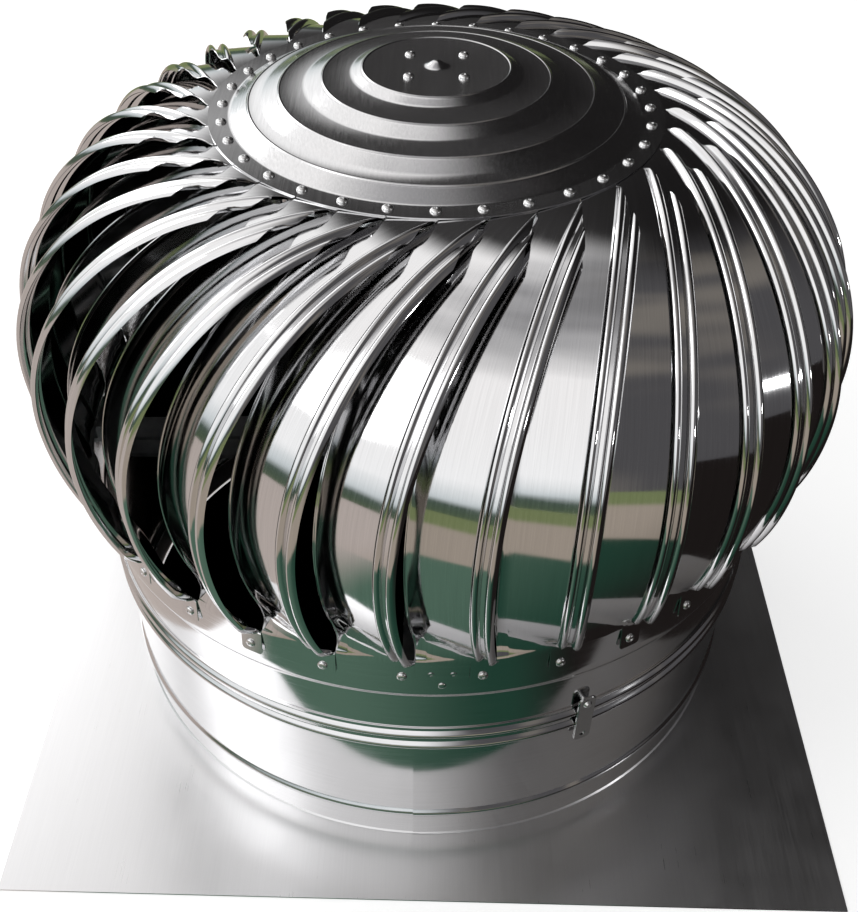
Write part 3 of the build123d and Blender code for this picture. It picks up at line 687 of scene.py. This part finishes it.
def clipMesh():
    # a flat strap with round corners and a hole at its lower end, bevelled as a punch leaves it
    shape = bmesh.new()
    halfWidth, halfHeight, corner = clip["width"] / 2, clip["height"] / 2, clip["corner"]
    steps, bevel = clip["holeSteps"], clip["bevel"]
    rims = []
    for cut, depth in ((0.0, 0.0), (0.0, clip["gauge"] - bevel), (bevel, clip["gauge"])):
        rim = []
        for quarter, (sx, sz) in enumerate(((1, 1), (-1, 1), (-1, -1), (1, -1))):
            for i in range(clip["cornerSteps"] + 1):
                turn = math.pi / 2 * (quarter + i / clip["cornerSteps"])
                rim.append((depth, sx * (halfWidth - corner) + (corner - cut) * math.cos(turn),
                            sz * (halfHeight - corner) + (corner - cut) * math.sin(turn)))
        rims.append(rim)
    hole = [(clip["hole"] * math.cos(math.tau * i / steps),
             -clip["holeAt"] + clip["hole"] * math.sin(math.tau * i / steps)) for i in range(steps)]

    def put(point):
        x, y = turnedPoint(clip["back"] + point[0], point[1], clip["angle"])
        return shape.verts.new(Vector((x, y, clip["middle"] + point[2])) * mm)

    outer = [[put(p) for p in rim] for rim in rims]
    inner = [[put((depth, y, z)) for y, z in hole] for depth in (0.0, clip["gauge"])]
    count = len(outer[0])
    for below, above in zip(outer, outer[1:]):
        for i in range(count):
            shape.faces.new((below[i], below[(i + 1) % count], above[(i + 1) % count], above[i]))
    for i in range(steps):
        j = (i + 1) % steps
        shape.faces.new((inner[0][i], inner[0][j], inner[1][j], inner[1][i]))
    for ring, eye in ((outer[0], inner[0]), (outer[-1], inner[1])):
        loops = [shape.edges.get((ring[i], ring[(i + 1) % count])) for i in range(count)]
        loops += [shape.edges.get((eye[i], eye[(i + 1) % steps])) for i in range(steps)]
        bmesh.ops.triangle_fill(shape, edges=loops, use_beauty=True)
    bmesh.ops.recalc_face_normals(shape, faces=shape.faces)
    mesh = bpy.data.meshes.new("bandClip")
    shape.to_mesh(mesh)
    shape.free()
    smoothByAngle(mesh, 30)
    return mesh


strap = clipMesh()
strap.materials.append(machined["groundShaft"])
placeMesh("bandClip", strap, "base", ["band_clip"])

# at each arm of the turning cross, two flush rivets and under them a small pressed knob
ringFixing = {
    "count": 4, "side": 7.0, "rivetRadius": 256.55, "rivetHeight": 197.5, "knobHeight": 187.0,
    "rivet": {"radius": 2.3, "height": 0.3, "pin": 0.8, "shank": 1.9, "grip": 1.4},
    "knob": {"radius": 2.6, "height": 0.9, "pin": 0.4, "shank": 1.9, "grip": 0.6},
}
armTurn = math.radians(vane["firstAngle"] + footAngle + vane["pitch"] / 2)
flushRivet, knob = rivetMesh(ringFixing["rivet"]), rivetMesh(ringFixing["knob"])
ringRivets = bpy.data.meshes.new("ringRivets")
joined = bmesh.new()
for single, side, radius, height in (
        (flushRivet, -ringFixing["side"], ringFixing["rivetRadius"], ringFixing["rivetHeight"]),
        (flushRivet, ringFixing["side"], ringFixing["rivetRadius"], ringFixing["rivetHeight"]),
        (knob, 0.0, turnRing["outer"], ringFixing["knobHeight"])):
    joined.from_mesh(repeatAround(single, rolledNeck, Count=ringFixing["count"], Radius=radius * mm,
                                  Height=height * mm, Lean=math.radians(90),
                                  First_Angle=armTurn + side / turnRing["outer"]))
joined.to_mesh(ringRivets)
joined.free()
ringRivets.materials.append(rolledNeck)
smoothByAngle(ringRivets, 40)
placeMesh("ringRivets", ringRivets, "rotor", ["spider_rivets"])
print("clip and ring fixings made")

# ---------- carried-over pieces ----------
# the finish of every node of the frame; the vanes are what isn't named here
finishes = (
    (satinPlate, ["base_plate"]),
    (rolledNeck, ["lower_neck", "upper_neck", "rotor_ring"]),
    (rolledBand, ["joint_band"]),
    (pressedCrown, ["crown"]),
    (machined["aluminiumRivet"], ["clip_screw", "cross_rivets", "spider_rivets", "rim_rivets",
                                  "centre_rivets", "foot_rivets"]),
    (machined["zincPlatedBar"], ["fixed_cross", "turning_cross", "shaft_nuts", "shaft_washers"]),
    (machined["groundShaft"], ["shaft", "spacer_sleeve", "band_clip"]),
    (machined["bearingSteel"], ["lower_bearing_inner_ring", "upper_bearing_inner_ring",
                                "lower_bearing_outer_ring", "upper_bearing_outer_ring"]),
    (machined["nitrileSeal"], ["lower_bearing_seals", "upper_bearing_seals"]),
    (machined["mouldedPolyamide"], ["lower_ball_cage", "upper_ball_cage"]),
    (machined["turnedAluminium"], ["upper_housing"]),
)
finishOf = {node: finish for finish, nodes in finishes for node in nodes}
for node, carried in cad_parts.items():
    carried.data.materials.clear()
    carried.data.materials.append(finishOf.get(node, polishedVane))
print("carried-over pieces finished:", len(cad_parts))

# ---------- studio ----------
# metres; each pair of shares of a heading or a reach in metres is where a colour starts and is full
studio = {
    "floor": "#F4F4F4", "floorSize": 9.0, "floorHeight": -0.0004, "floorGlow": 0.45, "worldFill": 0.55,
    "surroundRadius": 7.0, "surroundLevel": 1.25,
    "ceilingAxis": (0.48, 0.78, 0.4), "ceilingSpan": (0.675, 0.8), "ceiling": "#3A3939",
    "wallSpan": (-0.05, 0.24), "wall": "#4E4D4F", "barSpan": (0.5, 0.7), "wallBar": "#77726C",
    "behindSpan": (-0.1, 0.35), "wallBehind": "#1C1B1B",
    "skyRamp": ((0.0, "#4C5A46"), (0.09, "#46544A"), (0.15, "#CFD6D8"), (0.3, "#FFFFFF"), (0.86, "#FDFBFA"),
                (0.97, "#A5A4A5"), (1.0, "#8A898A")),
    "yardSize": 6.9, "yardHeight": -0.0002, "lawn": "#5A7666", "lawnRight": "#264639",
    "lawnRightSpan": (-0.35, 0.3), "yard": "#AFA396", "yardSpan": (0.82, 0.88), "grass": "#7F8A60",
    "grassSpan": (1.9, 2.4), "yardLeft": "#C9BDB6", "leftSpan": (0.58, 0.72), "yardRight": "#211D1C",
    # the last colour here is painted shade: the near-black of the disc in the throat stands in for the shade
    # inside the neck
    "rightSpan": (0.3, 0.6), "throatShade": "#050505", "throatShadeRadius": 0.2492, "throatShadeHeight": 0.0003,
}


def stageMesh(name, mesh, material, mirrorsOnly=True):
    # what only mirrors see makes the reflections in the metal and lights nothing else
    mesh.materials.append(material)
    made = bpy.data.objects.new(name, mesh)
    bpy.context.scene.collection.objects.link(made)
    if mirrorsOnly:
        made.visible_camera = False
        made.visible_diffuse = False
        made.visible_shadow = False


def flatSheet(name, size, height):
    mesh = bpy.data.meshes.new(name)
    mesh.from_pydata([Vector((x * size, y * size, height)) for x, y in ((-1, -1), (1, -1), (1, 1), (-1, 1))],
                     [], [(0, 1, 2, 3)])
    return mesh


def span(tree, value, limits):
    # 0 below the first limit and 1 above the second, softly between
    return addNode(tree, "ShaderNodeMapRange", {"interpolation_type": "SMOOTHSTEP"}, Value=value,
                   From_Min=limits[0], From_Max=limits[1]).outputs[0]


def blend(tree, share, first, second):
    mixed = addNode(tree, "ShaderNodeMix", {"data_type": "RGBA"}, Factor=share)
    for index, colour in ((6, first), (7, second)):
        if isinstance(colour, str):
            mixed.inputs[index].default_value = linearFromHex(colour)
        else:
            tree.links.new(colour, mixed.inputs[index])
    return mixed.outputs[2]


def surroundMaterial():
    # the yard around the ventilator as the metal mirrors it: a pale sky over trees, a dark wall to the
    # right and a dark roof overhead and behind
    made, tree = newMaterial("mirroredSurround")
    place = addNode(tree, "ShaderNodeTexCoord").outputs["Object"]
    heading = addNode(tree, "ShaderNodeVectorMath", {"operation": "NORMALIZE"}, i0=place).outputs[0]
    parts = addNode(tree, "ShaderNodeSeparateXYZ", Vector=heading).outputs
    leaves = addNode(tree, "ShaderNodeTexNoise", Vector=heading, Scale=7.0, Detail=4.0).outputs["Fac"]
    ragged = addNode(tree, "ShaderNodeMath", {"operation": "MULTIPLY_ADD"}, i0=leaves, i1=-0.12, i2=0.06)
    level = addNode(tree, "ShaderNodeMath", {"operation": "ADD"}, i0=parts["Z"], i1=ragged.outputs[0])
    ramp = addNode(tree, "ShaderNodeValToRGB", Fac=level.outputs[0])
    while len(ramp.color_ramp.elements) < len(studio["skyRamp"]):
        ramp.color_ramp.elements.new(0.5)
    for stop, (where, colour) in zip(ramp.color_ramp.elements, studio["skyRamp"]):
        stop.position, stop.color = where, linearFromHex(colour)
    stretched = addNode(tree, "ShaderNodeMapping", Vector=heading, Scale=(5.0, 5.0, 0.6))
    bars = addNode(tree, "ShaderNodeTexNoise", Vector=stretched.outputs[0], Scale=1.0, Detail=1.0)
    wall = blend(tree, span(tree, bars.outputs["Fac"], studio["barSpan"]), studio["wall"], studio["wallBar"])
    wall = blend(tree, span(tree, parts["Y"], studio["behindSpan"]), wall, studio["wallBehind"])
    axis = addNode(tree, "ShaderNodeVectorMath", {"operation": "DOT_PRODUCT"}, i0=heading,
                   i1=studio["ceilingAxis"]).outputs["Value"]
    roofed = blend(tree, span(tree, axis, studio["ceilingSpan"]), ramp.outputs[0], studio["ceiling"])
    roofed = blend(tree, span(tree, parts["X"], studio["wallSpan"]), roofed, wall)
    glow = addNode(tree, "ShaderNodeEmission", Color=roofed, Strength=studio["surroundLevel"])
    addNode(tree, "ShaderNodeOutputMaterial", Surface=glow.outputs[0])
    return made


def yardMaterial():
    # the ground as the metal mirrors it: a lawn round the ventilator, then a pale yard and grass
    made, tree = newMaterial("mirroredYard")
    place = addNode(tree, "ShaderNodeTexCoord").outputs["Object"]
    away = addNode(tree, "ShaderNodeVectorMath", {"operation": "LENGTH"}, i0=place).outputs["Value"]
    heading = addNode(tree, "ShaderNodeVectorMath", {"operation": "NORMALIZE"}, i0=place).outputs[0]
    parts = addNode(tree, "ShaderNodeSeparateXYZ", Vector=heading).outputs
    patches = addNode(tree, "ShaderNodeTexNoise", Vector=place, Scale=3.0, Detail=3.0).outputs["Fac"]
    edge = addNode(tree, "ShaderNodeMath", {"operation": "MULTIPLY_ADD"}, i0=patches, i1=0.2, i2=away)
    lawn = blend(tree, span(tree, parts["X"], studio["lawnRightSpan"]), studio["lawn"], studio["lawnRight"])
    ground = blend(tree, span(tree, edge.outputs[0], studio["yardSpan"]), lawn, studio["yard"])
    ground = blend(tree, span(tree, edge.outputs[0], studio["grassSpan"]), ground, studio["grass"])
    left = addNode(tree, "ShaderNodeMath", {"operation": "MULTIPLY"}, i0=parts["X"], i1=-1.0).outputs[0]
    ground = blend(tree, span(tree, left, studio["leftSpan"]), ground, studio["yardLeft"])
    ground = blend(tree, span(tree, parts["X"], studio["rightSpan"]), ground, studio["yardRight"])
    glow = addNode(tree, "ShaderNodeEmission", Color=ground, Strength=1.0)
    addNode(tree, "ShaderNodeOutputMaterial", Surface=glow.outputs[0])
    return made


def seenDirectly(tree):
    # 1 for what the camera, a mirror or glass sees, and 0 for the light that falls on things
    path = addNode(tree, "ShaderNodeLightPath").outputs
    seen = addNode(tree, "ShaderNodeMath", {"operation": "MAXIMUM"}, i0=path["Is Camera Ray"],
                   i1=path["Is Glossy Ray"])
    return addNode(tree, "ShaderNodeMath", {"operation": "MAXIMUM"}, i0=seen.outputs[0],
                   i1=path["Is Transmission Ray"]).outputs[0]


dome = bmesh.new()
bmesh.ops.create_uvsphere(dome, u_segments=48, v_segments=24, radius=studio["surroundRadius"])
domeMesh = bpy.data.meshes.new("surround")
dome.to_mesh(domeMesh)
dome.free()
stageMesh("surround", domeMesh, surroundMaterial())
stageMesh("yard", flatSheet("yard", studio["yardSize"], studio["yardHeight"]), yardMaterial())

# a near-black disc across the throat under the neck, dark to every ray: painted shade that stands in for the
# dark space inside the neck and the roof below
throatShadeShape = bmesh.new()
bmesh.ops.create_circle(throatShadeShape, cap_ends=True, segments=96, radius=studio["throatShadeRadius"])
bmesh.ops.translate(throatShadeShape, verts=throatShadeShape.verts, vec=(0, 0, studio["throatShadeHeight"]))
throatShadeMesh = bpy.data.meshes.new("throatShadeDisc")
throatShadeShape.to_mesh(throatShadeMesh)
throatShadeShape.free()
# painted shade: a near-black diffuse colour put where the inside of the neck is only in shade
throatShadeMaterial, throatShadeTree = newMaterial("paintedThroatShade")
shade = addNode(throatShadeTree, "ShaderNodeBsdfDiffuse", Color=linearFromHex(studio["throatShade"]))
addNode(throatShadeTree, "ShaderNodeOutputMaterial", Surface=shade.outputs[0])
stageMesh("throatShadeDisc", throatShadeMesh, throatShadeMaterial, False)

floorMaterial, floorTree = newMaterial("paintedFloor")
paint = addNode(floorTree, "ShaderNodeBsdfDiffuse", Color=linearFromHex(studio["floor"]))
glow = addNode(floorTree, "ShaderNodeEmission", Color=(1, 1, 1, 1), Strength=studio["floorGlow"])
lifted = addNode(floorTree, "ShaderNodeAddShader", i0=paint.outputs[0], i1=glow.outputs[0])
floorMix = addNode(floorTree, "ShaderNodeMixShader", i0=seenDirectly(floorTree), i1=paint.outputs[0],
                   i2=lifted.outputs[0])
addNode(floorTree, "ShaderNodeOutputMaterial", Surface=floorMix.outputs[0])
stageMesh("floor", flatSheet("floor", studio["floorSize"], studio["floorHeight"]), floorMaterial, False)

world = bpy.data.worlds.new("studioWorld")
bpy.context.scene.world = world
world.use_nodes = True
world.node_tree.nodes.clear()
level = addNode(world.node_tree, "ShaderNodeMapRange", Value=seenDirectly(world.node_tree),
                To_Min=studio["worldFill"], To_Max=1.0)
sky = addNode(world.node_tree, "ShaderNodeBackground", Color=(1, 1, 1, 1), Strength=level.outputs[0])
addNode(world.node_tree, "ShaderNodeOutputWorld", Surface=sky.outputs[0])


# each lamp's place, the height on the axis that it aims at, its width and height, all in metres, and watts
lamps = {
    "keySoftbox": ((-1.7, -0.6, 1.9), 0.25, 1.2, 1.2, 9),
    "backSoftbox": ((-1.9, 1.6, 1.5), 0.1, 1.6, 1.0, 12),
    "sparkLamp": ((1.93, -1.05, 0.78), 0.3, 0.12, 0.12, 2),
}
for name, (place, aim, width, height, power) in lamps.items():
    lamp = bpy.data.lights.new(name, "AREA")
    lamp.shape, lamp.size, lamp.size_y, lamp.energy = "RECTANGLE", width, height, power
    holder = bpy.data.objects.new(name, lamp)
    bpy.context.scene.collection.objects.link(holder)
    holder.location = place
    holder.rotation_euler = (Vector((0, 0, aim)) - Vector(place)).to_track_quat("-Z", "Y").to_euler()

# ---------- camera ----------
view = {"place": (3.1, -680.0, 729.8), "pitch": 46.848, "yaw": -1.353, "roll": 0.219, "lens": 42.926,
        "sensor": 36, "shift": (0.01714, 0.14352)}
camera = bpy.data.cameras.new("camera")
camera.lens, camera.sensor_width, camera.sensor_fit = view["lens"], view["sensor"], "AUTO"
camera.shift_x, camera.shift_y = view["shift"]
camera.clip_start, camera.clip_end = 0.01, 50
cameraHolder = bpy.data.objects.new("camera", camera)
bpy.context.scene.collection.objects.link(cameraHolder)
yaw, pitch, roll = [math.radians(view[k]) for k in ("yaw", "pitch", "roll")]
forward = Vector((math.sin(yaw) * math.cos(pitch), math.cos(yaw) * math.cos(pitch), -math.sin(pitch)))
right = forward.cross(Vector((0, 0, 1))).normalized()
up = right.cross(forward)
rolledRight = right * math.cos(roll) + up * math.sin(roll)
rolledUp = up * math.cos(roll) - right * math.sin(roll)
basis = Matrix((rolledRight, rolledUp, -forward)).transposed().to_4x4()
cameraHolder.matrix_world = Matrix.Translation(Vector(view["place"]) * mm) @ basis
bpy.context.scene.camera = cameraHolder
bpy.context.scene.view_settings.view_transform = "Standard"
print("studio and camera set")
